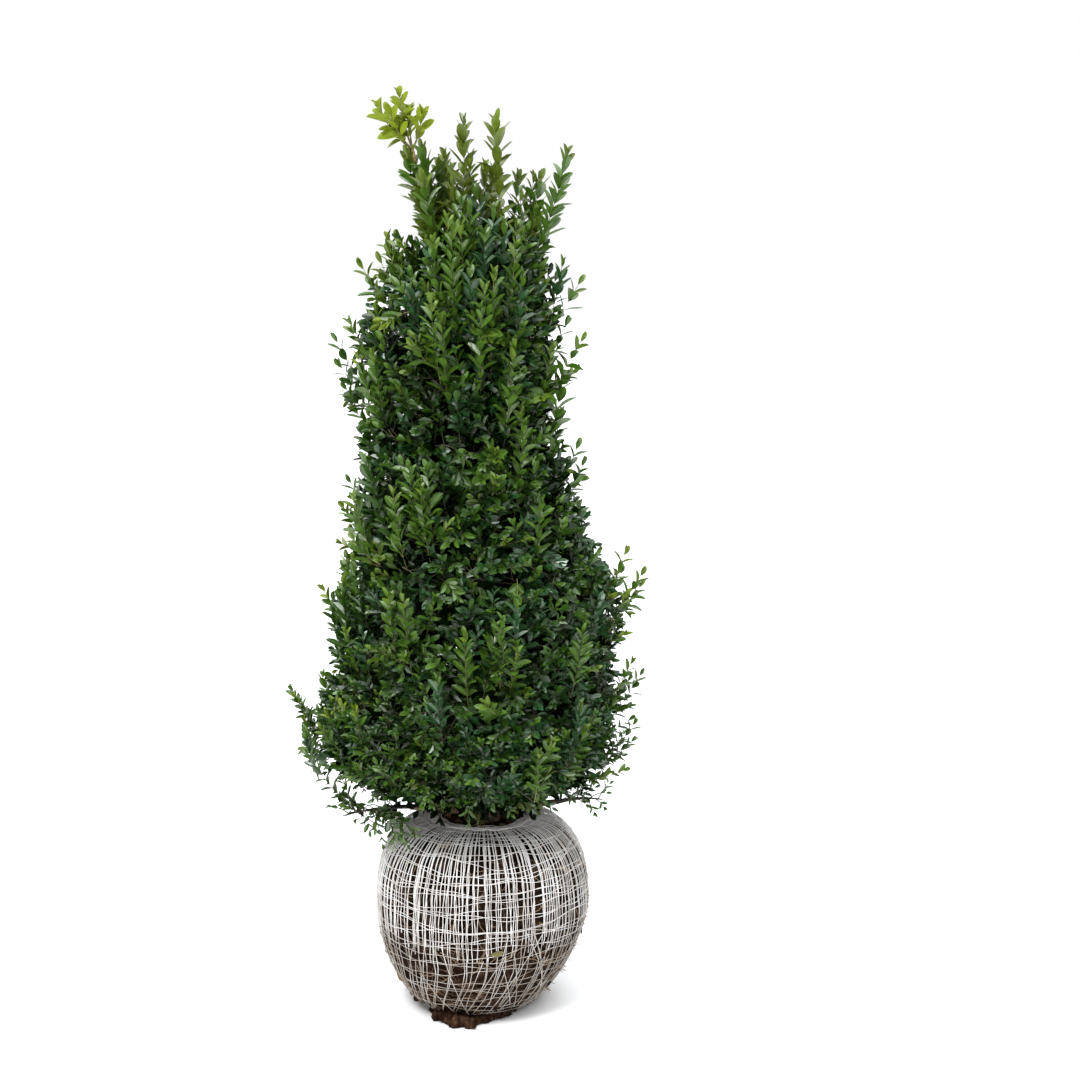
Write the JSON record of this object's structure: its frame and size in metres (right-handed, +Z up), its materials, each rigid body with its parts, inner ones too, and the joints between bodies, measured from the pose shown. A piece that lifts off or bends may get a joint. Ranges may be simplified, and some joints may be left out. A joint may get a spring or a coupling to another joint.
{
  "type": "boxwood cone with netted root ball",
  "caption": "Loosely grown evergreen cone on a trunk, lifted with its soil ball in a woven net, for planting in a garden bed or a large tub.",
  "frame": {"origin": "middle of the root ball's flat underside, on the surface that the plant stands on", "axes": "+Z up along the trunk, -Y to the front, +X to the right"},
  "size_m": [0.4163, 0.4034, 1.0796],
  "materials": {
    "soil": "matt, crumbly damp soil with fine roots",
    "netting": "matt woven strands",
    "bark": "matt, finely fissured",
    "foliage": "glossy leaf",
    "pale_foliage": "satin young leaf"
  },
  "bodies": {
    "root": {"root_ball": "soil", "root_ball_netting": "netting", "trunk": "bark", "skirt_bough_1": "bark", "skirt_bough_2": "bark", "skirt_bough_3": "bark", "skirt_bough_4": "bark", "skirt_bough_5": "bark", "lower_bough_1": "bark", "lower_bough_2": "bark", "lower_bough_3": "bark", "lower_bough_4": "bark", "middle_bough_1": "bark", "middle_bough_2": "bark", "middle_bough_3": "bark", "middle_bough_4": "bark", "upper_bough_1": "bark", "upper_bough_2": "bark", "upper_bough_3": "bark", "top_bough_1": "bark", "top_bough_2": "bark", "top_bough_3": "bark", "low_left_bough": "bark", "low_right_bough": "bark", "low_back_right_bough": "bark", "low_back_left_bough": "bark", "pale_leader_bough": "bark", "skirt_foliage_1": "foliage", "skirt_foliage_2": "foliage", "skirt_foliage_3": "foliage", "skirt_foliage_4": "foliage", "skirt_foliage_5": "foliage", "lower_foliage_1": "foliage", "lower_foliage_2": "foliage", "lower_foliage_3": "foliage", "lower_foliage_4": "foliage", "middle_foliage_1": "foliage", "middle_foliage_2": "foliage", "middle_foliage_3": "foliage", "middle_foliage_4": "foliage", "upper_foliage_1": "foliage", "upper_foliage_2": "foliage", "upper_foliage_3": "foliage", "top_foliage_1": "foliage", "top_foliage_2": "foliage", "top_foliage_3": "foliage", "low_left_spray": "foliage", "low_right_spray": "foliage", "low_back_right_spray": "foliage", "low_back_left_spray": "foliage", "pale_leader_foliage": "pale_foliage"}
  },
  "joints": []
}
